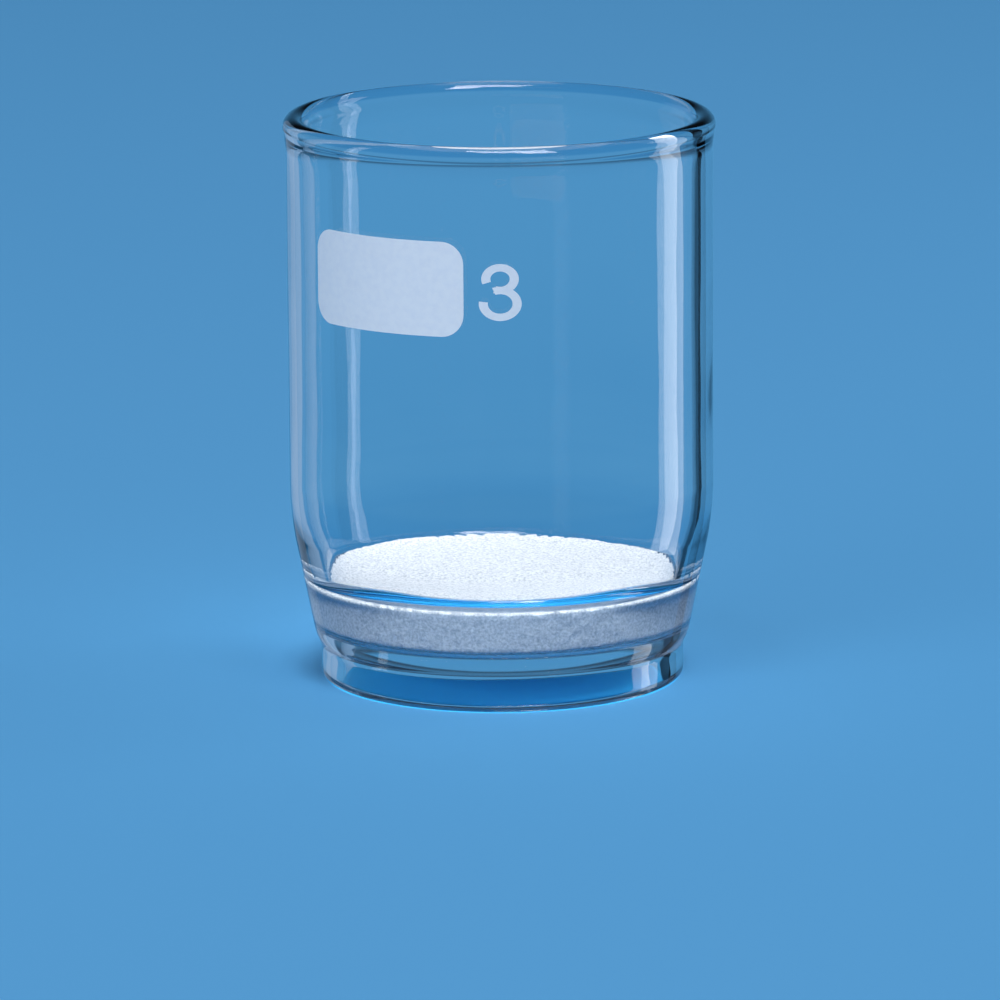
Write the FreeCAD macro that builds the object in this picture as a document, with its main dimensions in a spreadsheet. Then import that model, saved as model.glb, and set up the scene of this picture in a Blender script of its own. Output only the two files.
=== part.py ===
import FreeCAD, Part
import math
import os

import Sketcher

# Fritted filter crucible: a small clear glass vessel with a disc of sintered glass fused into its bottom.
# Millimetres. +Z points up along the axis of the vessel, and the origin is the centre of the foot ring,
# on the table that the vessel stands on.

document = FreeCAD.newDocument("filter_crucible")

# Driving sizes: name, value, what it measures
SIZES = [
    ("overall_height", 51.0, "table to the crest of the rim"),
    ("tube_diameter", 38.0, "outside of the straight wall"),
    ("wall_thickness", 1.5, "straight wall"),
    ("bead_outer_swell", 0.27, "how far the rim bead stands out of the wall's outside"),
    ("bead_inner_swell", 0.22, "how far the rim bead stands into the mouth"),
    ("bead_flank", 2.4, "from the crest of the rim down to where the bead's flanks meet the wall"),
    ("disc_diameter", 29.0, "sintered disc"),
    ("disc_thickness", 3.7, "sintered disc"),
    ("disc_underside", 5.4, "table to the lower face of the disc"),
    ("top_lip", 0.9, "how far the glass laps over the disc's upper edge"),
    ("bottom_lip", 0.3, "how far the glass laps under the disc's lower edge"),
    ("seat_hollow", 2.6, "hollow curve that leads from the wall to the lip over the disc"),
    ("seat_hollow_wall", 2.0, "from the disc's edge out to the corner of that hollow curve"),
    ("seat_hollow_rise", 0.65, "from the disc's upper face up to the corner of that hollow curve"),
    ("inner_taper_rise", 6.3, "from the disc's upper face up to where the inner taper meets the wall"),
    ("outer_taper_rise", 5.9, "from the disc's upper face up to where the outer taper meets the wall"),
    ("outer_taper_blend", 16.0, "bend between the outer taper and the straight wall"),
    ("shoulder_wall", 2.3, "from the disc's edge out to the corner of the shoulder"),
    ("shoulder_height", 4.05, "table to the corner of the shoulder"),
    ("shoulder_rounding", 0.6, "corner of the shoulder"),
    ("neck_height", 3.1, "table to where the shoulder's underside meets the foot"),
    ("foot_wall", 2.1, "wall of the foot ring"),
    ("foot_outer_bevel", 0.55, "bevel of the foot's outer lower edge"),
    ("foot_inner_bevel", 0.5, "bevel of the foot's inner lower edge"),
]

sheet = document.addObject("Spreadsheet::Sheet", "sizes")
for row, (name, value, meaning) in enumerate(SIZES, start=1):
    sheet.set(f"A{row}", name)
    sheet.set(f"B{row}", str(value))
    sheet.setAlias(f"B{row}", name)
    sheet.set(f"C{row}", meaning)
document.recompute()

# Radii and heights that follow from the sizes, shared by the glass and the disc
DISC_RADIUS = "sizes.disc_diameter / 2"
DISC_UNDERSIDE = "sizes.disc_underside"
DISC_TOP = f"{DISC_UNDERSIDE} + sizes.disc_thickness"
LIP_RADIUS = f"{DISC_RADIUS} - sizes.top_lip"
SEAT_HOLLOW_RADIUS = f"{DISC_RADIUS} + sizes.seat_hollow_wall"
SEAT_HOLLOW_HEIGHT = f"{DISC_TOP} + sizes.seat_hollow_rise"
FOOT_BORE_RADIUS = f"{DISC_RADIUS} - sizes.bottom_lip"
FOOT_RADIUS = f"{FOOT_BORE_RADIUS} + sizes.foot_wall"
SHOULDER_RADIUS = f"{DISC_RADIUS} + sizes.shoulder_wall"
TUBE_RADIUS = "sizes.tube_diameter / 2"
TUBE_BORE_RADIUS = f"{TUBE_RADIUS} - sizes.wall_thickness"
OUTER_TAPER_TOP = f"{DISC_TOP} + sizes.outer_taper_rise"
INNER_TAPER_TOP = f"{DISC_TOP} + sizes.inner_taper_rise"
BEAD_RADIUS = "(sizes.wall_thickness + sizes.bead_outer_swell + sizes.bead_inner_swell) / 2"
BEAD_CENTRE_RADIUS = f"{TUBE_RADIUS} + sizes.bead_outer_swell - {BEAD_RADIUS}"
BEAD_CENTRE_HEIGHT = f"sizes.overall_height - {BEAD_RADIUS}"
BEAD_FLANK_HEIGHT = "sizes.overall_height - sizes.bead_flank"
TABLE = None

# Corners of the glass body's half section, down the inside from the bead, across the foot on the table
# and up the outside: name, distance from the axis, height, size that rounds the corner
CORNERS = [
    ("inner_flank_end", TUBE_BORE_RADIUS, BEAD_FLANK_HEIGHT, None),
    ("inner_taper_corner", TUBE_BORE_RADIUS, INNER_TAPER_TOP, None),
    ("seat_hollow_corner", SEAT_HOLLOW_RADIUS, SEAT_HOLLOW_HEIGHT, "seat_hollow"),
    ("upper_lip", LIP_RADIUS, DISC_TOP, None),
    ("seat_top", DISC_RADIUS, DISC_TOP, None),
    ("seat_bottom", DISC_RADIUS, DISC_UNDERSIDE, None),
    ("lower_lip", FOOT_BORE_RADIUS, DISC_UNDERSIDE, None),
    ("foot_inner_side", FOOT_BORE_RADIUS, "sizes.foot_inner_bevel", None),
    ("foot_inner_face", f"{FOOT_BORE_RADIUS} + sizes.foot_inner_bevel", TABLE, None),
    ("foot_outer_face", f"{FOOT_RADIUS} - sizes.foot_outer_bevel", TABLE, None),
    ("foot_outer_side", FOOT_RADIUS, "sizes.foot_outer_bevel", None),
    ("neck_corner", FOOT_RADIUS, "sizes.neck_height", None),
    ("shoulder_corner", SHOULDER_RADIUS, "sizes.shoulder_height", "shoulder_rounding"),
    ("outer_taper_corner", TUBE_RADIUS, OUTER_TAPER_TOP, "outer_taper_blend"),
    ("outer_flank_end", TUBE_RADIUS, BEAD_FLANK_HEIGHT, None),
]

# How a sketch names an edge's start, end and centre, its horizontal axis and its origin
START = 1
END = 2
CENTRE = 3
HORIZONTAL_AXIS = -1
ORIGIN = (-1, START)


def number(expression):
    """Value of a size expression, and 0 for the table."""
    return 0.0 if expression is TABLE else float(sheet.evalExpression(expression))


def spot(radius, height):
    """Point of the half section at this distance from the axis and this height."""
    return FreeCAD.Vector(radius, height, 0)


def new_body(label):
    body = document.addObject("PartDesign::Body", label)
    body.Label = label
    return body


def new_sketch(body, name, plane_role):
    """Sketch on one of the body's own origin planes."""
    sketch = body.newObject("Sketcher::SketchObject", name)
    plane = next(feature for feature in body.Origin.OriginFeatures if feature.Role == plane_role)
    sketch.AttachmentSupport = (plane, [""])
    sketch.MapMode = "FlatFace"
    return sketch


def bind(sketch, name, expression, kind, *places):
    """Add a dimension that a size expression drives."""
    index = sketch.addConstraint(Sketcher.Constraint(kind, *places, number(expression)))
    sketch.renameConstraint(index, name)
    sketch.setExpression(f"Constraints.{name}", expression)


def place_point(sketch, edge, end, name, radius, height):
    """Fix a point of an edge by its distance from the axis and its height."""
    bind(sketch, f"{name}_radius", radius, "DistanceX", *ORIGIN, edge, end)
    if height is TABLE:
        sketch.addConstraint(Sketcher.Constraint("PointOnObject", edge, end, HORIZONTAL_AXIS))
    else:
        bind(sketch, f"{name}_height", height, "DistanceY", *ORIGIN, edge, end)


def tangent_arc(before, corner, after, radius):
    """Centre, first and last point of the arc that rounds a corner, and whether it turns left."""
    back = (before - corner).normalize()
    ahead = (after - corner).normalize()
    half_angle = back.getAngle(ahead) / 2
    reach = radius / math.tan(half_angle)
    middle = (back + ahead).normalize()
    centre = corner + middle * (radius / math.sin(half_angle))
    turns_left = ahead.cross(back).z > 0
    return centre, corner + back * reach, corner + ahead * reach, turns_left


def add_arc(sketch, centre, first, last, turns_left):
    """Add the arc from first to last. Return it and how the sketch names its first and its last point."""
    start, end = (first, last) if turns_left else (last, first)
    start_angle = math.atan2(start.y - centre.y, start.x - centre.x)
    end_angle = math.atan2(end.y - centre.y, end.x - centre.x)
    circle = Part.Circle(centre, FreeCAD.Vector(0, 0, 1), (start - centre).Length)
    arc = sketch.addGeometry(Part.ArcOfCircle(circle, start_angle, end_angle))
    return (arc, START, END) if turns_left else (arc, END, START)


def add_walls(sketch, inner_side, outer_side):
    """Draw the outline through all the corners, between the two sides of the bead. Return its end lines."""
    marks = [spot(number(radius), number(height)) for _, radius, height, _ in CORNERS]
    path = [inner_side, *marks, outer_side]
    roundings = [number(f"sizes.{size}") if size else 0.0 for _, _, _, size in CORNERS]
    arcs = [
        tangent_arc(before, corner, after, rounding)
        for before, corner, after, rounding in zip(path, marks, path[2:], roundings)
    ]
    starts = [inner_side, *(last for _, _, last, _ in arcs)]
    ends = [*(first for _, first, _, _ in arcs), outer_side]
    lines = [sketch.addGeometry(Part.LineSegment(start, end)) for start, end in zip(starts, ends)]

    for corner, mark, arc_plan, line_in, line_out in zip(CORNERS, marks, arcs, lines, lines[1:]):
        name, radius, height, rounding = corner
        if rounding is None:
            sketch.addConstraint(Sketcher.Constraint("Coincident", line_in, END, line_out, START))
            place_point(sketch, line_out, START, name, radius, height)
            continue
        point = sketch.addGeometry(Part.Point(mark), True)
        place_point(sketch, point, START, name, radius, height)
        sketch.addConstraint(Sketcher.Constraint("PointOnObject", point, START, line_in))
        sketch.addConstraint(Sketcher.Constraint("PointOnObject", point, START, line_out))
        arc, first, last = add_arc(sketch, *arc_plan)
        sketch.addConstraint(Sketcher.Constraint("Tangent", line_in, END, arc, first))
        sketch.addConstraint(Sketcher.Constraint("Tangent", arc, last, line_out, START))
        bind(sketch, rounding, f"sizes.{rounding}", "Radius", arc)
    return lines[0], lines[-1]


def sketch_glass_section(sketch):
    """Half section of the glass body: the walls, closed at the top by the half round bead of the rim."""
    centre = spot(number(BEAD_CENTRE_RADIUS), number(BEAD_CENTRE_HEIGHT))
    half_width = spot(number(BEAD_RADIUS), 0)
    inner_side = centre - half_width
    outer_side = centre + half_width
    inner_flank, outer_flank = add_walls(sketch, inner_side, outer_side)
    bead, first, last = add_arc(sketch, centre, outer_side, inner_side, True)
    sketch.addConstraint(Sketcher.Constraint("Coincident", outer_flank, END, bead, first))
    sketch.addConstraint(Sketcher.Constraint("Coincident", bead, last, inner_flank, START))
    sketch.addConstraint(Sketcher.Constraint("Horizontal", bead, first, bead, CENTRE))
    sketch.addConstraint(Sketcher.Constraint("Horizontal", bead, last, bead, CENTRE))
    place_point(sketch, bead, CENTRE, "bead_centre", BEAD_CENTRE_RADIUS, BEAD_CENTRE_HEIGHT)
    bind(sketch, "bead_radius", BEAD_RADIUS, "Radius", bead)


def build_glass_body():
    """The blown vessel in one piece: rim bead, walls, seat of the disc, shoulder and foot ring."""
    body = new_body("glass_body")
    sketch = new_sketch(body, "glass_section", "XZ_Plane")
    sketch_glass_section(sketch)
    revolution = body.newObject("PartDesign::Revolution", "glass_revolution")
    revolution.Profile = sketch
    revolution.ReferenceAxis = (sketch, ["V_Axis"])
    revolution.Angle = 360
    return body


def build_sintered_disc():
    """The porous disc that the glass grips all round, with a lip over and under its edge."""
    body = new_body("sintered_disc")
    body.setExpression("Placement.Base.z", DISC_UNDERSIDE)
    sketch = new_sketch(body, "disc_outline", "XY_Plane")
    circle = Part.Circle(FreeCAD.Vector(0, 0, 0), FreeCAD.Vector(0, 0, 1), number(DISC_RADIUS))
    edge = sketch.addGeometry(circle)
    sketch.addConstraint(Sketcher.Constraint("Coincident", edge, CENTRE, *ORIGIN))
    bind(sketch, "disc_radius", DISC_RADIUS, "Radius", edge)
    pad = body.newObject("PartDesign::Pad", "disc_pad")
    pad.Profile = sketch
    pad.setExpression("Length", "sizes.disc_thickness")
    return body


def check(bodies):
    """Stop if a feature failed, a sketch is loose or a piece isn't one valid solid."""
    for item in document.Objects:
        if "Invalid" in item.State or "Error" in item.State:
            raise RuntimeError(f"{item.Name} failed: {item.State}")
        if item.isDerivedFrom("Sketcher::SketchObject") and not item.FullyConstrained:
            raise RuntimeError(f"{item.Name} isn't fully constrained")
    for body in bodies:
        shape = body.Shape
        if shape.isNull() or not shape.isValid() or len(shape.Solids) != 1:
            raise RuntimeError(f"{body.Label} isn't one valid solid")


bodies = [build_glass_body(), build_sintered_disc()]
document.recompute()
check(bodies)
os.makedirs("parts", exist_ok=True)
for body in bodies:
    body.Shape.exportStep(f"parts/{body.Label}.step")
    box = body.Shape.BoundBox
    print(f"{body.Label}: {body.Shape.Volume:.1f} mm3, z {box.ZMin:.3f} to {box.ZMax:.3f}")
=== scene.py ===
"""Fritted filter crucible in a studio: a clear glass vessel with a sintered disc fused into its bottom.

Metres, +Z up along the axis of the vessel, origin in the middle of the foot on the table.
"""

import math

import bpy
from mathutils import Matrix, Vector


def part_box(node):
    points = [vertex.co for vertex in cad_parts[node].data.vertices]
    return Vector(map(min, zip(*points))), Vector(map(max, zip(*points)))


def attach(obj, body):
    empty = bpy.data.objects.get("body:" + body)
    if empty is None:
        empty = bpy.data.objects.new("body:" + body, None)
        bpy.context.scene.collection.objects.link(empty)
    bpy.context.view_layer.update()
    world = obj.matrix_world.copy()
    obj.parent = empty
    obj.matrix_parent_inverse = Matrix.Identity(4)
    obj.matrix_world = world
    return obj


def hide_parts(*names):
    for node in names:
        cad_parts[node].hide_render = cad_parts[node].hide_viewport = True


bl_info = {
    "name": "Filter crucible",
    "version": (1, 0, 0),
    "blender": (4, 5, 0),
    "location": "3D View > Sidebar > Crucible",
    "description": "Builds a fritted filter crucible of clear glass on a plain studio table",
    "category": "Object",
}

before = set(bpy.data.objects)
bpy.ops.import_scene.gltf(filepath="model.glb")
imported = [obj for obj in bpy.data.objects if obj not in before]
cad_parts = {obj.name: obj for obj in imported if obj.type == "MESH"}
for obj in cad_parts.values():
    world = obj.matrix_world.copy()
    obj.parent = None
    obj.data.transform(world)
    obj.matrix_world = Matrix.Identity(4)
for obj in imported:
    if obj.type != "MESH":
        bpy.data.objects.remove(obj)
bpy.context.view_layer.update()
GLASS_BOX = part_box("glass_body")
DISC_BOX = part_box("sintered_disc")

# Places that the dressed pieces take over from the frame
RIM_HEIGHT = GLASS_BOX[1][2]
BEAD_REACH = GLASS_BOX[1][0]
DISC_RADIUS = DISC_BOX[1][0]
DISC_UNDERSIDE = DISC_BOX[0][2]
DISC_TOP = DISC_BOX[1][2]

# Where the disc's upper edge starts to flare and where it is full, at the sides and the back
DISC_FLARE_FOOT = DISC_TOP - 0.0007
DISC_EDGE_FOOT = DISC_TOP - 0.0002
FLARE_WIDTH = 0.0014

# Room between the wide edge of the disc and the lip and hollow of the glass over it
WIDE_LIP = 0.0002
WIDE_HOLLOW = 0.0001

# Fine bore that keeps the disc's outline off its axis while it is spun
DISC_CORE = 0.0005

# Degrees from the front between which the hollow over the disc runs out
FRONT_SEAT = 32
BACK_SEAT = 80

# Band at the disc's upper edge that gets teeth: how far inside and outside its radius, and up or down
TOOTH_INSIDE = 0.0003
TOOTH_OUTSIDE = 0.0001
TOOTH_REACH = 0.0005

# The numeral's bowls: where each starts at the waist, counterclockwise from the right, and its turn
UPPER_BOWL_SWEEP = (math.radians(-112), math.radians(312))
LOWER_BOWL_SWEEP = (math.radians(112), math.radians(-300))

# Stage: the table's middle lies under the foot and is painted brighter there as light against the foot's
# shadow, and the whole table is TABLE_SPREAD times as wide
TABLE_MIDDLE = 0.0160
TABLE_SPREAD = 300
TABLE_SIDES = 128
LAMP_AIM = Vector((0, 0, 0.02))
FLAG_HEIGHT = 0.16
DIM_CEILING = (0.012, 0.018, 0.028, 1)

FULL_TURN = 2 * math.pi
SPIN_STEPS = 256
BOWL_STEPS = 40
PATCH_CORNER_STEPS = 10
WRAP_STRIPS = 24
SMOOTH_ANGLE = math.radians(40)
SEAT_MARGIN = 0.0002
MERGE_DISTANCE = 1e-6


class CrucibleGlassSizes(bpy.types.PropertyGroup):
    """Sizes of the blown vessel"""

    tube_radius: bpy.props.FloatProperty(
        name="Tube radius", description="Outside of the straight wall", default=0.0190, unit="LENGTH"
    )
    wall: bpy.props.FloatProperty(
        name="Wall", description="Thickness of the straight wall", default=0.0015, unit="LENGTH"
    )
    bead_inner_swell: bpy.props.FloatProperty(
        name="Bead inner swell", description="How far the rim bead stands into the mouth",
        default=0.00022, unit="LENGTH",
    )
    bead_height: bpy.props.FloatProperty(
        name="Bead height", description="From the crest down to the end of the bead",
        default=0.0024, unit="LENGTH",
    )
    outer_taper_top: bpy.props.FloatProperty(
        name="Outer taper top", description="Height where the outer taper meets the wall",
        default=0.0150, unit="LENGTH",
    )
    inner_taper_top: bpy.props.FloatProperty(
        name="Inner taper top", description="Height where the inner taper meets the wall",
        default=0.0154, unit="LENGTH",
    )
    hollow_radius: bpy.props.FloatProperty(
        name="Hollow radius", description="Radius of the corner between wall and lip",
        default=0.0166, unit="LENGTH",
    )
    hollow_rise: bpy.props.FloatProperty(
        name="Hollow rise", description="Height of that corner above the disc",
        default=0.00008, unit="LENGTH",
    )
    hollow_reach: bpy.props.FloatProperty(
        name="Hollow reach", description="How far the hollow curve reaches from its corner",
        default=0.00268, unit="LENGTH",
    )
    lip_radius: bpy.props.FloatProperty(
        name="Lip radius", description="Where the glass over the disc runs out",
        default=0.01385, unit="LENGTH",
    )
    wide_radius: bpy.props.FloatProperty(
        name="Wide disc radius", description="The disc's upper edge at the back and the sides",
        default=0.0162, unit="LENGTH",
    )
    wide_rise: bpy.props.FloatProperty(
        name="Wide disc rise", description="How far that edge is drawn up the wall",
        default=0.0003, unit="LENGTH",
    )
    wide_hollow_reach: bpy.props.FloatProperty(
        name="Wide hollow reach", description="Hollow reach there, where less glass ran in",
        default=0.0004, unit="LENGTH",
    )
    lip_sink: bpy.props.FloatProperty(
        name="Lip sink", description="How deep the lip's edge lies in the disc's grain",
        default=0.00004, unit="LENGTH",
    )
    lower_lip_radius: bpy.props.FloatProperty(
        name="Lower lip radius", description="Where the glass under the disc runs out",
        default=0.0134, unit="LENGTH",
    )
    swell: bpy.props.FloatProperty(
        name="Swell", description="How far the wall bellies out over its inner taper",
        default=0.00012, unit="LENGTH",
    )
    fused_depth: bpy.props.FloatProperty(
        name="Fused depth", description="How deep the glass and the disc are run together",
        default=0.0001, unit="LENGTH",
    )
    foot_bore: bpy.props.FloatProperty(
        name="Foot bore", description="Radius inside the foot ring", default=0.0142, unit="LENGTH"
    )
    foot_radius: bpy.props.FloatProperty(
        name="Foot radius", description="Outside of the foot ring", default=0.0163, unit="LENGTH"
    )
    neck_height: bpy.props.FloatProperty(
        name="Neck height", description="Where the shoulder's underside meets the foot",
        default=0.0031, unit="LENGTH",
    )
    shoulder_radius: bpy.props.FloatProperty(
        name="Shoulder radius", description="Corner of the shoulder", default=0.0168, unit="LENGTH"
    )
    shoulder_height: bpy.props.FloatProperty(
        name="Shoulder height", description="Height of the shoulder's corner",
        default=0.00405, unit="LENGTH",
    )
    waviness: bpy.props.FloatProperty(
        name="Waviness", description="Unevenness of the drawn and blown walls",
        default=0.00004, unit="LENGTH",
    )


class CrucibleDiscSizes(bpy.types.PropertyGroup):
    """Sizes of the sintered disc's grain"""

    grain_cell: bpy.props.FloatProperty(
        name="Grain cell", description="Spacing of the points that carry the grain",
        default=0.00026, unit="LENGTH",
    )
    grain_depth: bpy.props.FloatProperty(
        name="Grain depth", description="Depth of the fine grain", default=0.00007, unit="LENGTH"
    )
    clump_depth: bpy.props.FloatProperty(
        name="Clump depth", description="Depth of the coarser clumps", default=0.00009, unit="LENGTH"
    )
    tooth_height: bpy.props.FloatProperty(
        name="Tooth height", description="Unevenness of the edge that is fused to the wall",
        default=0.00055, unit="LENGTH",
    )


class CruciblePrintSizes(bpy.types.PropertyGroup):
    """Sizes of the fired enamel print"""

    height: bpy.props.FloatProperty(
        name="Centre height", description="Middle of the print above the table",
        default=0.0385, unit="LENGTH",
    )
    patch_width: bpy.props.FloatProperty(
        name="Patch width", description="Length of the writing patch round the wall",
        default=0.0158, unit="LENGTH",
    )
    patch_height: bpy.props.FloatProperty(
        name="Patch height", description="Height of the writing patch", default=0.0084, unit="LENGTH"
    )
    patch_corner: bpy.props.FloatProperty(
        name="Patch corner", description="Rounding of the patch's corners", default=0.0020, unit="LENGTH"
    )
    patch_turn: bpy.props.FloatProperty(
        name="Patch turn", description="Turn of the patch about the axis",
        default=math.radians(-33.5), unit="ROTATION",
    )
    stroke: bpy.props.FloatProperty(
        name="Stroke", description="Width of the numeral's line", default=0.00064, unit="LENGTH"
    )
    upper_bowl: bpy.props.FloatProperty(
        name="Upper bowl", description="Outer radius of the numeral's upper bowl",
        default=0.00132, unit="LENGTH",
    )
    lower_bowl: bpy.props.FloatProperty(
        name="Lower bowl", description="Outer radius of the numeral's lower bowl",
        default=0.00151, unit="LENGTH",
    )
    bowl_stretch: bpy.props.FloatProperty(
        name="Bowl stretch", description="Width of the bowls over their height", default=1.24
    )
    thickness: bpy.props.FloatProperty(
        name="Enamel thickness", description="Thickness of the fired enamel", default=0.00004, unit="LENGTH"
    )


class CrucibleColours(bpy.types.PropertyGroup):
    """Colours of the crucible and its studio"""

    # Painted light and shade of the grain: lighter on the raised grains, darker in the pores between them
    frit_lit_grain: bpy.props.FloatVectorProperty(
        name="Frit light", description="Grains of the disc that face the light", subtype="COLOR",
        size=4, min=0, max=1, default=(0.82, 0.86, 0.92, 1),
    )
    frit_pore_shade: bpy.props.FloatVectorProperty(
        name="Frit dark", description="Pores between the grains", subtype="COLOR",
        size=4, min=0, max=1, default=(0.50, 0.55, 0.62, 1),
    )
    # Painted shade: the disc's side band, where it is fused to the wall, gets these greyer, bluer grain
    # colours in place of the shade it lies in
    painted_shade_band_light: bpy.props.FloatVectorProperty(
        name="Fused light", description="Grains of the disc's edge, fused to the wall", subtype="COLOR",
        size=4, min=0, max=1, default=(0.54, 0.64, 0.77, 1),
    )
    painted_shade_band_dark: bpy.props.FloatVectorProperty(
        name="Fused dark", description="Spaces between those grains", subtype="COLOR",
        size=4, min=0, max=1, default=(0.32, 0.41, 0.53, 1),
    )
    enamel: bpy.props.FloatVectorProperty(
        name="Enamel", description="Fired white enamel", subtype="COLOR",
        size=4, min=0, max=1, default=(0.93, 0.93, 0.95, 1),
    )
    enamel_thin: bpy.props.FloatVectorProperty(
        name="Thin enamel", description="Where the enamel is thin", subtype="COLOR",
        size=4, min=0, max=1, default=(0.86, 0.87, 0.92, 1),
    )
    below: bpy.props.FloatVectorProperty(
        name="Below", description="The backdrop well below the horizon", subtype="COLOR",
        size=4, min=0, max=1, default=(0.045, 0.23, 0.50, 1),
    )
    horizon: bpy.props.FloatVectorProperty(
        name="Horizon", description="The backdrop, as light as the lit table", subtype="COLOR",
        size=4, min=0, max=1, default=(0.075, 0.285, 0.55, 1),
    )
    # Painted light: the table under the foot is coloured brighter and bluer than the rest, against the
    # shadow that the foot casts there
    under_foot_painted_light: bpy.props.FloatVectorProperty(
        name="Under the foot", description="The table under the foot", subtype="COLOR",
        size=4, min=0, max=1, default=(0.04, 0.45, 0.90, 1),
    )
    table: bpy.props.FloatVectorProperty(
        name="Table", description="The table outside the foot ring", subtype="COLOR",
        size=4, min=0, max=1, default=(0.095, 0.33, 0.63, 1),
    )


# Selecting and shaping


def start_edit(piece):
    bpy.context.view_layer.objects.active = piece
    piece.select_set(True)
    bpy.ops.object.mode_set(mode="EDIT")
    bpy.ops.mesh.select_mode(type="VERT")


def end_edit():
    bpy.ops.object.mode_set(mode="OBJECT")


def select_points(piece, wanted):
    """In object mode, select just the points whose place passes the test. Return how many there are."""
    mesh = piece.data
    for part in (*mesh.polygons, *mesh.edges):
        part.select = False
    for point in mesh.vertices:
        point.select = wanted(point.co)
    return sum(point.select for point in mesh.vertices)


def add_point(name, place):
    """A mesh of a single point: a plane merged to its middle and moved to its place."""
    bpy.ops.object.select_all(action="DESELECT")
    bpy.ops.mesh.primitive_plane_add(size=0.001)
    piece = bpy.context.object
    piece.name = name
    start_edit(piece)
    bpy.ops.mesh.select_all(action="SELECT")
    bpy.ops.mesh.merge(type="CENTER")
    bpy.ops.transform.translate(value=place)
    return piece


def draw_outline(name, corners):
    """Draw a closed outline in the XZ plane.

    A corner is (radius, height, reach of its rounding, segments of its rounding, parts of the stretch
    after it).
    """
    places = [Vector((radius, 0, height)) for radius, height, *_ in corners]
    piece = add_point(name, places[0])
    for start, end in zip(places, places[1:]):
        bpy.ops.mesh.extrude_region_move(TRANSFORM_OT_translate={"value": end - start})
    end_edit()
    ends = (places[0], places[-1])
    select_points(piece, lambda place: min((place - end).length for end in ends) < MERGE_DISTANCE)
    start_edit(piece)
    bpy.ops.mesh.edge_face_add()
    end_edit()
    for corner, (_, _, reach, segments, _) in zip(places, corners):
        if not segments:
            continue
        found = select_points(piece, lambda place: (place - corner).length < MERGE_DISTANCE)
        if found != 1:
            raise RuntimeError(f"{name}: no single point at {corner}")
        start_edit(piece)
        bpy.ops.mesh.bevel(
            offset_type="OFFSET", offset=reach, segments=segments, affect="VERTICES", clamp_overlap=False
        )
        end_edit()
    for start, end, corner in zip(places, places[1:] + places[:1], corners):
        if corner[4] > 1:
            divide_stretch(piece, start, end, corner[4])
    return piece


def divide_stretch(piece, start, end, parts):
    """Cut the straight edge of an outline that lies between two corners into equal parts."""
    mesh = piece.data
    along = (end - start).normalized()

    def on_stretch(place):
        reach = (place - start).dot(along)
        return -MERGE_DISTANCE < reach < (end - start).length + MERGE_DISTANCE and (
            (place - start) - reach * along
        ).length < MERGE_DISTANCE

    for part in (*mesh.vertices, *mesh.edges):
        part.select = False
    found = 0
    for edge in mesh.edges:
        edge.select = all(on_stretch(mesh.vertices[index].co) for index in edge.vertices)
        found += edge.select
    if found != 1:
        raise RuntimeError(f"{piece.name}: no single edge between {start} and {end}")
    bpy.context.view_layer.objects.active = piece
    bpy.ops.object.mode_set(mode="EDIT")
    bpy.ops.mesh.select_mode(type="EDGE")
    bpy.ops.mesh.subdivide(number_cuts=parts - 1)
    end_edit()


def spin_outline(piece):
    """Spin a closed outline about the vertical axis into a closed shell that faces outwards."""
    start_edit(piece)
    bpy.ops.mesh.select_all(action="SELECT")
    bpy.ops.mesh.spin(
        steps=SPIN_STEPS, angle=FULL_TURN, use_auto_merge=True, center=(0, 0, 0), axis=(0, 0, 1)
    )
    bpy.ops.mesh.select_all(action="SELECT")
    bpy.ops.mesh.remove_doubles(threshold=MERGE_DISTANCE)
    bpy.ops.mesh.normals_make_consistent(inside=False)
    end_edit()


def blend_to_back(piece, other):
    """Give the back and the sides of a spun piece the shape of another, and its front its own."""
    if len(piece.data.vertices) != len(other.data.vertices):
        raise RuntimeError(f"{piece.name} and {other.name} have different points")
    bpy.ops.object.select_all(action="DESELECT")
    other.select_set(True)
    piece.select_set(True)
    bpy.context.view_layer.objects.active = piece
    bpy.ops.object.join_shapes()
    back = piece.vertex_groups.new(name="back")
    for point in piece.data.vertices:
        azimuth = abs(math.degrees(math.atan2(point.co.x, -point.co.y)))
        share = min(max((azimuth - FRONT_SEAT) / (BACK_SEAT - FRONT_SEAT), 0), 1)
        back.add([point.index], share * share * (3 - 2 * share), "REPLACE")
    key = piece.data.shape_keys.key_blocks[other.name]
    key.vertex_group = "back"
    key.value = 1
    piece.active_shape_key_index = 1
    bpy.ops.object.shape_key_remove(all=True, apply_mix=True)
    bpy.data.objects.remove(other)


def apply_modifiers(piece):
    bpy.ops.object.select_all(action="DESELECT")
    bpy.context.view_layer.objects.active = piece
    piece.select_set(True)
    for modifier in list(piece.modifiers):
        bpy.ops.object.modifier_apply(modifier=modifier.name)


def apply_place(piece):
    bpy.ops.object.select_all(action="DESELECT")
    bpy.context.view_layer.objects.active = piece
    piece.select_set(True)
    bpy.ops.object.transform_apply(location=True, rotation=True, scale=True)


def displace(piece, texture, depth, middle=0.5, group="", direction="NORMAL"):
    """Push the surface along its normals, or along an axis, by a texture in the piece's own space."""
    modifier = piece.modifiers.new("Displace", "DISPLACE")
    modifier.texture = texture
    modifier.texture_coords = "LOCAL"
    modifier.strength = depth
    modifier.mid_level = middle
    modifier.vertex_group = group
    modifier.direction = direction


def clouds(name, size, depth):
    texture = bpy.data.textures.new(name, "CLOUDS")
    texture.noise_scale = size
    texture.noise_depth = depth
    return texture


def finish_piece(piece, nodes, material):
    """Hand a finished piece over: its finish, the body it rides on and the CAD nodes it stands for."""
    piece.data.materials.clear()
    piece.data.materials.append(material)
    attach(piece, "root")
    if nodes:
        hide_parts(*nodes)


# Materials


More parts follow.
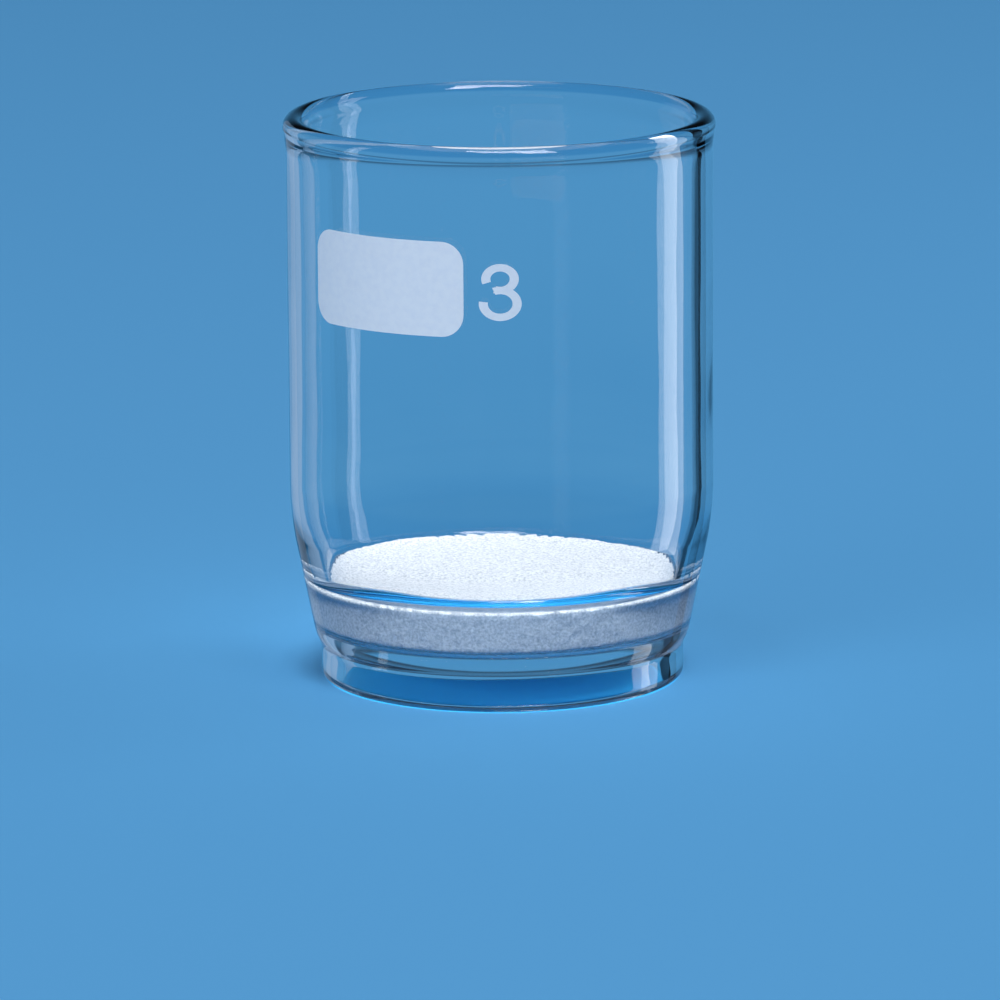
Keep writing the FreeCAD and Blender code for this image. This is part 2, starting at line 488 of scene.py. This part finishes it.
def new_material(name):
    """A material and its node tree, with a Principled shader on the output."""
    material = bpy.data.materials.new(name)
    material.use_nodes = True
    tree = material.node_tree
    return material, tree, tree.nodes["Principled BSDF"]


def add_node(tree, kind, inputs=None, **settings):
    node = tree.nodes.new(kind)
    for name, value in settings.items():
        setattr(node, name, value)
    for name, value in (inputs or {}).items():
        node.inputs[name].default_value = value
    return node


def object_noise(tree, scale, detail, roughness=0.5):
    """Noise in the piece's own space, as its Fac socket."""
    place = add_node(tree, "ShaderNodeTexCoord")
    noise = add_node(tree, "ShaderNodeTexNoise", {"Scale": scale, "Detail": detail, "Roughness": roughness})
    tree.links.new(place.outputs["Object"], noise.inputs["Vector"])
    return noise.outputs["Fac"]


def radius_share(tree, whole):
    """Distance from the vessel's axis, as a share of a radius."""
    place = add_node(tree, "ShaderNodeTexCoord")
    flat = add_node(tree, "ShaderNodeVectorMath", operation="MULTIPLY")
    flat.inputs[1].default_value = (1 / whole, 1 / whole, 0)
    length = add_node(tree, "ShaderNodeVectorMath", operation="LENGTH")
    tree.links.new(place.outputs["Object"], flat.inputs[0])
    tree.links.new(flat.outputs["Vector"], length.inputs[0])
    return length.outputs["Value"]


def height_share(tree, whole):
    """Height over the table, as a share of a height."""
    place = add_node(tree, "ShaderNodeTexCoord")
    split = add_node(tree, "ShaderNodeSeparateXYZ")
    share = add_node(tree, "ShaderNodeMath", operation="DIVIDE")
    share.inputs[1].default_value = whole
    tree.links.new(place.outputs["Object"], split.inputs["Vector"])
    tree.links.new(split.outputs["Z"], share.inputs[0])
    return share.outputs["Value"]


def ramp(tree, source, low, low_colour, high, high_colour):
    node = add_node(tree, "ShaderNodeValToRGB")
    node.color_ramp.elements[0].position = low
    node.color_ramp.elements[0].color = low_colour
    node.color_ramp.elements[1].position = high
    node.color_ramp.elements[1].color = high_colour
    tree.links.new(source, node.inputs["Fac"])
    return node.outputs["Color"]


def spread(tree, source, low, high):
    """Map a 0 to 1 value onto a range."""
    node = add_node(tree, "ShaderNodeMapRange", {"To Min": low, "To Max": high})
    tree.links.new(source, node.inputs["Value"])
    return node.outputs["Result"]


def borosilicate_material():
    """Clear fire-polished glass that lets the lamps reach what is behind it."""
    material, tree, glass = new_material("clear borosilicate glass")
    glass.inputs["Base Color"].default_value = (1, 1, 1, 1)
    glass.inputs["Roughness"].default_value = 0.0
    glass.inputs["IOR"].default_value = 1.473
    glass.inputs["Transmission Weight"].default_value = 1.0
    clear = add_node(tree, "ShaderNodeBsdfTransparent", {"Color": (0.94, 0.96, 0.97, 1)})
    path = add_node(tree, "ShaderNodeLightPath")
    mix = add_node(tree, "ShaderNodeMixShader")
    output = tree.nodes["Material Output"]
    tree.links.new(path.outputs["Is Shadow Ray"], mix.inputs[0])
    tree.links.new(glass.outputs["BSDF"], mix.inputs[1])
    tree.links.new(clear.outputs["BSDF"], mix.inputs[2])
    tree.links.new(mix.outputs["Shader"], output.inputs["Surface"])
    return material


def sintered_material(colours):
    """Matt white granular glass, with painted shade on its side band where it is fused to the wall, which is
    greyer and bluer there.
    """
    material, tree, frit = new_material("sintered glass")
    grain = object_noise(tree, 4200, 2, 0.6)
    # Painted light and shade: the noise that raises the grains makes them lighter and the pores between them
    # darker
    open_colour = ramp(tree, grain, 0.34, colours.frit_pore_shade, 0.58, colours.frit_lit_grain)
    # Painted shade: below its top, the disc's side band takes the greyer, bluer shade colours
    painted_shade_band_colour = ramp(tree, grain, 0.34, colours.painted_shade_band_dark, 0.66, colours.painted_shade_band_light)
    outer = ramp(tree, radius_share(tree, DISC_RADIUS), 0.985, (0, 0, 0, 1), 0.995, (1, 1, 1, 1))
    lower = ramp(tree, height_share(tree, DISC_TOP), 0.975, (1, 1, 1, 1), 0.985, (0, 0, 0, 1))
    fused = add_node(tree, "ShaderNodeMath", operation="MULTIPLY")
    tree.links.new(outer, fused.inputs[0])
    tree.links.new(lower, fused.inputs[1])
    mix = add_node(tree, "ShaderNodeMix", data_type="RGBA")
    tree.links.new(fused.outputs["Value"], mix.inputs["Factor"])
    tree.links.new(open_colour, mix.inputs[6])
    tree.links.new(painted_shade_band_colour, mix.inputs[7])
    tree.links.new(mix.outputs[2], frit.inputs["Base Color"])
    roughness = spread(tree, object_noise(tree, 900, 2), 0.75, 0.95)
    tree.links.new(roughness, frit.inputs["Roughness"])
    frit.inputs["Specular IOR Level"].default_value = 0.25
    bump = add_node(tree, "ShaderNodeBump", {"Strength": 0.35, "Distance": 0.0001})
    tree.links.new(grain, bump.inputs["Height"])
    tree.links.new(bump.outputs["Normal"], frit.inputs["Normal"])
    return material


def enamel_material(colours):
    """Thin fired enamel, satin and a little uneven."""
    material, tree, enamel = new_material("fired white enamel")
    cover = object_noise(tree, 1500, 4, 0.6)
    colour = ramp(tree, cover, 0.20, colours.enamel_thin, 0.60, colours.enamel)
    tree.links.new(colour, enamel.inputs["Base Color"])
    roughness = spread(tree, object_noise(tree, 700, 2), 0.32, 0.55)
    tree.links.new(roughness, enamel.inputs["Roughness"])
    bump = add_node(tree, "ShaderNodeBump", {"Strength": 0.15, "Distance": 0.00003})
    tree.links.new(cover, bump.inputs["Height"])
    tree.links.new(bump.outputs["Normal"], enamel.inputs["Normal"])
    return material


# Operators


class CRUCIBLE_OT_glass_body(bpy.types.Operator):
    """Spin the blown vessel from its half section and make its walls a little uneven"""

    bl_idname = "crucible.glass_body"
    bl_label = "Glass body"

    def execute(self, context):
        sizes = context.scene.crucible_glass
        glass = self.spin_body(
            "blown_glass_body", sizes, DISC_RADIUS, 0, sizes.lip_radius,
            sizes.hollow_radius, sizes.hollow_reach,
        )
        wide = self.spin_body(
            "wide_seat", sizes, sizes.wide_radius, sizes.wide_rise, sizes.wide_radius - WIDE_LIP,
            sizes.wide_radius + WIDE_HOLLOW, sizes.wide_hollow_reach,
        )
        blend_to_back(glass, wide)
        walls = glass.vertex_groups.new(name="walls")
        walls.add([v.index for v in glass.data.vertices if self.may_wave(v.co, sizes)], 1.0, "REPLACE")
        displace(glass, clouds("slow ream", 0.011, 0), sizes.waviness, group="walls")
        displace(glass, clouds("fine ream", 0.0045, 0), sizes.waviness / 4, group="walls")
        apply_modifiers(glass)
        bpy.ops.object.shade_smooth_by_angle(angle=SMOOTH_ANGLE)
        finish_piece(glass, ["glass_body"], borosilicate_material())
        return {"FINISHED"}

    @staticmethod
    def spin_body(name, sizes, edge_radius, edge_rise, lip_radius, hollow_radius, hollow_reach):
        """The whole vessel, round a disc with this upper edge and with this lip and hollow curve over it."""
        bore = sizes.tube_radius - sizes.wall
        mouth = bore - sizes.bead_inner_swell
        bead_width = BEAD_REACH - mouth
        # Just under half the bead's width, so that its two roundings stay apart
        bead_round = 0.495 * bead_width
        bead_end = RIM_HEIGHT - sizes.bead_height
        bead_waist = RIM_HEIGHT - 0.55 * bead_width
        fused = sizes.fused_depth
        edge_top = DISC_TOP + edge_rise
        seat_bottom = DISC_UNDERSIDE + fused
        corners = [
            (BEAD_REACH, RIM_HEIGHT, bead_round, 8, 1),
            (mouth, RIM_HEIGHT, bead_round, 8, 1),
            (mouth, bead_waist - 0.0001, 0.0003, 3, 1),
            (bore, bead_end, 0.0009, 6, 18),
            (bore, sizes.inner_taper_top + 0.0060, 0.0012, 4, 1),
            (bore + sizes.swell, sizes.inner_taper_top + 0.0015, 0.0012, 6, 1),
            (bore - 0.0001, sizes.inner_taper_top - 0.0012, 0.0011, 6, 3),
            (hollow_radius, edge_top + sizes.hollow_rise, hollow_reach, 14, 1),
            (lip_radius, edge_top - sizes.lip_sink, 0, 0, 1),
            (lip_radius, edge_top - fused, 0, 0, 1),
            (edge_radius - fused, edge_top - fused, 0, 0, 2),
            (edge_radius - fused, DISC_EDGE_FOOT, 0, 0, 1),
            (DISC_RADIUS - fused, DISC_FLARE_FOOT, 0, 0, 1),
            (DISC_RADIUS - fused, seat_bottom, 0, 0, 1),
            (sizes.lower_lip_radius, seat_bottom, 0, 0, 1),
            (sizes.lower_lip_radius, DISC_UNDERSIDE + sizes.lip_sink, 0, 0, 1),
            (sizes.foot_bore, DISC_UNDERSIDE - sizes.hollow_rise, 0.0006, 6, 3),
            (sizes.foot_bore, 0, 0.00065, 6, 1),
            (sizes.foot_radius, 0, 0.00065, 7, 2),
            (sizes.foot_radius, sizes.neck_height, 0.00035, 5, 1),
            (sizes.shoulder_radius, sizes.shoulder_height, 0.00045, 6, 6),
            (sizes.tube_radius, sizes.outer_taper_top, 0.0026, 9, 22),
            (sizes.tube_radius, bead_end, 0.0009, 6, 1),
            (BEAD_REACH, bead_waist, 0.0003, 3, 1),
        ]
        body = draw_outline(name, corners)
        spin_outline(body)
        return body

    @staticmethod
    def may_wave(place, sizes):
        """The walls between bead and seat may wave, but not what sets the outer size or holds the disc."""
        radius = math.hypot(place.x, place.y)
        seat_end = DISC_TOP + SEAT_MARGIN
        on_walls = seat_end < place.z < RIM_HEIGHT - sizes.bead_height
        on_shoulder = sizes.neck_height < place.z <= seat_end and radius > DISC_RADIUS + SEAT_MARGIN
        return on_walls or on_shoulder


class CRUCIBLE_OT_sintered_disc(bpy.types.Operator):
    """Make the porous disc, with grain on its faces and a ragged upper edge"""

    bl_idname = "crucible.sintered_disc"
    bl_label = "Sintered disc"

    def execute(self, context):
        sizes = context.scene.crucible_disc
        glass = context.scene.crucible_glass
        disc = self.spin_disc("granular_disc", DISC_RADIUS, 0)
        blend_to_back(disc, self.spin_disc("wide_disc", glass.wide_radius, glass.wide_rise))
        self.close_core(disc)
        remesh = disc.modifiers.new("Grain cells", "REMESH")
        remesh.mode = "VOXEL"
        remesh.voxel_size = sizes.grain_cell
        apply_modifiers(disc)
        edge = disc.vertex_groups.new(name="upper edge")
        edge.add([v.index for v in disc.data.vertices if self.on_upper_edge(v.co)], 1.0, "REPLACE")
        displace(disc, clouds("clumps", 0.0011, 1), sizes.clump_depth, 0.35)
        displace(disc, clouds("grains", 0.00042, 0), sizes.grain_depth, 0.5)
        displace(disc, clouds("teeth", 0.00055, 0), sizes.tooth_height, 0.5, "upper edge", "Z")
        apply_modifiers(disc)
        bpy.ops.object.shade_smooth()
        finish = sintered_material(context.scene.crucible_colours)
        finish_piece(disc, ["sintered_disc"], finish)
        return {"FINISHED"}

    @staticmethod
    def spin_disc(name, edge_radius, edge_rise):
        """A plate whose upper edge stands out and up this far, still with a fine bore along its axis."""
        disc = draw_outline(name, [
            (DISC_CORE, DISC_UNDERSIDE, 0, 0, 1),
            (DISC_RADIUS, DISC_UNDERSIDE, 0, 0, 1),
            (DISC_RADIUS, DISC_FLARE_FOOT, 0, 0, 1),
            (edge_radius, DISC_EDGE_FOOT, 0, 0, 1),
            (edge_radius, DISC_TOP + edge_rise, 0, 0, 1),
            (edge_radius - FLARE_WIDTH, DISC_TOP, 0, 0, 1),
            (DISC_CORE, DISC_TOP, 0, 0, 1),
        ])
        spin_outline(disc)
        return disc

    @staticmethod
    def close_core(disc):
        """Merge each end of the bore into a point on the axis."""
        for height in (DISC_UNDERSIDE, DISC_TOP):
            select_points(
                disc,
                lambda place: place.xy.length < 2 * DISC_CORE and abs(place.z - height) < MERGE_DISTANCE,
            )
            start_edit(disc)
            bpy.ops.mesh.merge(type="CENTER")
            end_edit()

    @staticmethod
    def on_upper_edge(place):
        """The edge that shows through the front wall."""
        radius = math.hypot(place.x, place.y)
        on_rim = DISC_RADIUS - TOOTH_INSIDE < radius < DISC_RADIUS + TOOTH_OUTSIDE
        return on_rim and abs(place.z - DISC_TOP) < TOOTH_REACH


def cut_upright(piece, width, strips):
    """Cut a flat print into upright strips, so that it can follow the wall."""
    start_edit(piece)
    for strip in range(1, strips):
        bpy.ops.mesh.select_all(action="SELECT")
        bpy.ops.mesh.bisect(plane_co=(width * (strip / strips - 0.5), 0, 0), plane_no=(1, 0, 0))
    end_edit()


def thicken(piece, thickness):
    """Give a flat print its thickness, half of it in front and half behind."""
    solidify = piece.modifiers.new("Thickness", "SOLIDIFY")
    solidify.thickness = thickness
    solidify.offset = 0
    apply_modifiers(piece)


def wrap_on_wall(piece, wall_radius, turn, height):
    """Bend a print that faces -Y round the wall, so that the wall's surface runs through its middle."""
    width = piece.dimensions.x
    cut_upright(piece, width, WRAP_STRIPS)
    bend = piece.modifiers.new("Wrap", "SIMPLE_DEFORM")
    bend.deform_method = "BEND"
    bend.deform_axis = "Z"
    bend.angle = width / wall_radius
    apply_modifiers(piece)
    piece.data.transform(Matrix.Rotation(turn, 4, "Z") @ Matrix.Translation((0, -wall_radius, height)))
    bpy.ops.object.shade_smooth_by_angle(angle=SMOOTH_ANGLE)


class CRUCIBLE_OT_print(bpy.types.Operator):
    """Print the writing patch and the pore size numeral in white enamel"""

    bl_idname = "crucible.print"
    bl_label = "Enamel print"

    def execute(self, context):
        scene = context.scene
        enamel = enamel_material(scene.crucible_colours)
        for piece, turn in (
            (self.add_patch(scene.crucible_print), scene.crucible_print.patch_turn),
            (self.add_numeral(scene.crucible_print), 0.0),
        ):
            wrap_on_wall(piece, scene.crucible_glass.tube_radius, turn, scene.crucible_print.height)
            finish_piece(piece, [], enamel)
        return {"FINISHED"}

    @staticmethod
    def add_patch(sizes):
        bpy.ops.object.select_all(action="DESELECT")
        bpy.ops.mesh.primitive_plane_add(size=1, rotation=(math.pi / 2, 0, 0))
        patch = bpy.context.object
        patch.name = "writing_patch"
        patch.scale = (sizes.patch_width, sizes.patch_height, 1)
        apply_place(patch)
        start_edit(patch)
        bpy.ops.mesh.select_all(action="SELECT")
        bpy.ops.mesh.bevel(
            offset_type="OFFSET", offset=sizes.patch_corner, segments=PATCH_CORNER_STEPS, affect="VERTICES"
        )
        end_edit()
        thicken(patch, sizes.thickness)
        return patch

    @staticmethod
    def add_bowl(name, sizes, radius, middle, sweep):
        """Sweep the stroke's width round a bowl of the numeral."""
        start, turn = sweep
        bowl = add_point(name, (radius - sizes.stroke, 0, 0))
        bpy.ops.mesh.extrude_region_move(TRANSFORM_OT_translate={"value": (sizes.stroke, 0, 0)})
        bpy.ops.mesh.select_all(action="SELECT")
        bpy.ops.transform.rotate(value=start, orient_axis="Y", center_override=(0, 0, 0))
        bpy.ops.mesh.spin(steps=BOWL_STEPS, angle=turn, center=(0, 0, 0), axis=(0, 1, 0))
        bpy.ops.mesh.select_all(action="SELECT")
        bpy.ops.transform.resize(value=(sizes.bowl_stretch, 1, 1), center_override=(0, 0, 0))
        bpy.ops.transform.translate(value=(0, 0, middle))
        bpy.ops.mesh.normals_make_consistent(inside=False)
        end_edit()
        thicken(bowl, sizes.thickness)
        return bowl

    def add_numeral(self, sizes):
        """A plain 3 of two round bowls, whose strokes share the waist."""
        waist = sizes.stroke / 2
        numeral = self.add_bowl(
            "pore_size_numeral", sizes, sizes.upper_bowl, sizes.upper_bowl - waist, UPPER_BOWL_SWEEP
        )
        lower = self.add_bowl(
            "lower_bowl", sizes, sizes.lower_bowl, waist - sizes.lower_bowl, LOWER_BOWL_SWEEP
        )
        union = numeral.modifiers.new("Join", "BOOLEAN")
        union.operation = "UNION"
        union.object = lower
        apply_modifiers(numeral)
        bpy.data.objects.remove(lower)
        return numeral


class CRUCIBLE_OT_stage(bpy.types.Operator):
    """Set the table, the lamps and the camera"""

    bl_idname = "crucible.stage"
    bl_label = "Stage"

    def execute(self, context):
        colours = context.scene.crucible_colours
        for part in self.add_floor(colours):
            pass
        self.set_world(colours)
        # name, azimuth from the camera's side, elevation, distance, width, height, power, shown in the glass
        self.add_lamp("overhead soft box", 15, 76, 3.2, 1.4, 1.4, 58.0, True)
        self.add_lamp("front soft box", 30, 58, 2.0, 0.50, 0.50, 10.0, True)
        self.add_lamp("left fill", -42, 24, 2.4, 1.20, 1.20, 21.0, False)
        self.add_lamp("side soft box", 107, 8, 0.5, 0.16, 0.60, 0.64, True)
        self.add_flag("pale flag", (-0.052, 0.045), (-0.062, 0.170), (0.24, 0.40, 0.62, 1))
        self.add_flag("dark flag", (0.052, 0.028), (0.054, 0.054), (0.004, 0.006, 0.01, 1))
        self.add_camera()
        return {"FINISHED"}

    @staticmethod
    def add_floor(colours):
        """A small disc under the foot, painted brighter and bluer than the table as light against the foot's
        shadow, and flush with it the table, which the glass doesn't show.
        """
        bpy.ops.object.select_all(action="DESELECT")
        bpy.ops.mesh.primitive_circle_add(vertices=TABLE_SIDES, radius=TABLE_MIDDLE, fill_type="NGON")
        middle = bpy.context.object
        middle.name = "painted_light_table_middle"
        bpy.ops.object.select_all(action="DESELECT")
        bpy.ops.mesh.primitive_circle_add(vertices=TABLE_SIDES, radius=TABLE_MIDDLE)
        table = bpy.context.object
        table.name = "table"
        start_edit(table)
        bpy.ops.mesh.select_all(action="SELECT")
        bpy.ops.mesh.extrude_region_move()
        bpy.ops.transform.resize(value=(TABLE_SPREAD, TABLE_SPREAD, 1))
        bpy.ops.mesh.select_all(action="SELECT")
        bpy.ops.mesh.normals_make_consistent(inside=False)
        end_edit()
        table.visible_glossy = False
        table.visible_transmission = False
        # The middle disc's brighter colour is painted light against the foot's shadow
        for part, colour in ((middle, colours.under_foot_painted_light), (table, colours.table)):
            material, _, surface = new_material(part.name)
            surface.inputs["Base Color"].default_value = colour
            surface.inputs["Roughness"].default_value = 1.0
            surface.inputs["Specular IOR Level"].default_value = 0.0
            part.data.materials.append(material)
        return middle, table

    @staticmethod
    def set_world(colours):
        """Blue backdrop, deeper well below the horizon, and a dim studio ceiling above it."""
        world = bpy.data.worlds.new("studio")
        bpy.context.scene.world = world
        world.use_nodes = True
        tree = world.node_tree
        background = tree.nodes["Background"]
        place = add_node(tree, "ShaderNodeTexCoord")
        split = add_node(tree, "ShaderNodeSeparateXYZ")
        tree.links.new(place.outputs["Generated"], split.inputs["Vector"])
        rise = add_node(tree, "ShaderNodeMapRange", {"From Min": -1.0, "From Max": 1.0})
        tree.links.new(split.outputs["Z"], rise.inputs["Value"])
        colour = ramp(tree, rise.outputs["Result"], 0.37, colours.below, 0.41, colours.horizon)
        steps = colour.node.color_ramp.elements
        steps.new(0.53).color = colours.horizon
        steps.new(0.65).color = DIM_CEILING
        tree.links.new(colour, background.inputs["Color"])
        background.inputs["Strength"].default_value = 1.0

    @staticmethod
    def add_lamp(name, azimuth, elevation, distance, width, height, power, in_glass):
        turn = math.radians(azimuth)
        rise = math.radians(elevation)
        flat = distance * math.cos(rise)
        place = LAMP_AIM + Vector((flat * math.sin(turn), -flat * math.cos(turn), distance * math.sin(rise)))
        bpy.ops.object.light_add(type="AREA", location=place)
        lamp = bpy.context.object
        lamp.name = name
        lamp.data.shape = "RECTANGLE"
        lamp.data.size = width
        lamp.data.size_y = height
        lamp.data.energy = power
        lamp.rotation_euler = (LAMP_AIM - place).to_track_quat("-Z", "Y").to_euler()
        lamp.visible_camera = False
        lamp.visible_glossy = in_glass
        lamp.visible_transmission = in_glass

    @staticmethod
    def add_flag(name, near, far, colour):
        """A card beside the camera's view that only the glass shows, for the lines along its edges."""
        start, end = Vector((*near, 0)), Vector((*far, 0))
        bpy.ops.object.select_all(action="DESELECT")
        bpy.ops.mesh.primitive_plane_add(size=1, rotation=(math.pi / 2, 0, 0))
        flag = bpy.context.object
        flag.name = name
        flag.scale = ((end - start).length, FLAG_HEIGHT, 1)
        apply_place(flag)
        turn = Vector((1, 0)).angle_signed((end - start).to_2d())
        flag.data.transform(Matrix.Translation((start + end) / 2) @ Matrix.Rotation(-turn, 4, "Z"))
        material, _, surface = new_material(name)
        surface.inputs["Base Color"].default_value = (0, 0, 0, 1)
        surface.inputs["Specular IOR Level"].default_value = 0.0
        surface.inputs["Emission Color"].default_value = colour
        surface.inputs["Emission Strength"].default_value = 1.0
        flag.data.materials.append(material)
        flag.visible_camera = False
        flag.visible_diffuse = False
        flag.visible_shadow = False

    @staticmethod
    def add_camera():
        """Long lens from the photograph's height, turned a little about its own line of sight."""
        elevation = math.radians(11.3)
        distance = 0.7
        target = Vector((0, 0, 0.0255))
        eye = target + distance * Vector((0, -math.cos(elevation), math.sin(elevation)))
        aim = Vector((-0.00014, 0, 0.01582))
        bpy.ops.object.camera_add()
        camera = bpy.context.object
        look = (aim - eye).to_track_quat("-Z", "Y").to_matrix().to_4x4()
        camera.matrix_world = Matrix.Translation(eye) @ look @ Matrix.Rotation(math.radians(-0.4), 4, "Z")
        camera.data.lens = 281.2
        camera.data.sensor_width = 36.0
        camera.data.clip_start = 0.01
        bpy.context.scene.camera = camera
        bpy.context.scene.view_settings.view_transform = "Standard"


class CRUCIBLE_PT_panel(bpy.types.Panel):
    """Steps that build the crucible and its studio"""

    bl_label = "Filter crucible"
    bl_space_type = "VIEW_3D"
    bl_region_type = "UI"
    bl_category = "Crucible"

    def draw(self, context):
        for operator in OPERATORS:
            self.layout.operator(operator.bl_idname)
        for group in GROUPS:
            settings = getattr(context.scene, group)
            for name in settings.__annotations__:
                self.layout.prop(settings, name)


OPERATORS = (CRUCIBLE_OT_glass_body, CRUCIBLE_OT_sintered_disc, CRUCIBLE_OT_print, CRUCIBLE_OT_stage)
GROUPS = {
    "crucible_glass": CrucibleGlassSizes,
    "crucible_disc": CrucibleDiscSizes,
    "crucible_print": CruciblePrintSizes,
    "crucible_colours": CrucibleColours,
}


def register():
    for name, group in GROUPS.items():
        bpy.utils.register_class(group)
        setattr(bpy.types.Scene, name, bpy.props.PointerProperty(type=group))
    for kind in (*OPERATORS, CRUCIBLE_PT_panel):
        bpy.utils.register_class(kind)


def unregister():
    for kind in reversed((*OPERATORS, CRUCIBLE_PT_panel)):
        bpy.utils.unregister_class(kind)
    for name, group in reversed(GROUPS.items()):
        delattr(bpy.types.Scene, name)
        bpy.utils.unregister_class(group)


def main():
    register()
    bpy.ops.crucible.glass_body()
    bpy.ops.crucible.sintered_disc()
    bpy.ops.crucible.print()
    bpy.ops.crucible.stage()


if __name__ == "__main__":
    main()
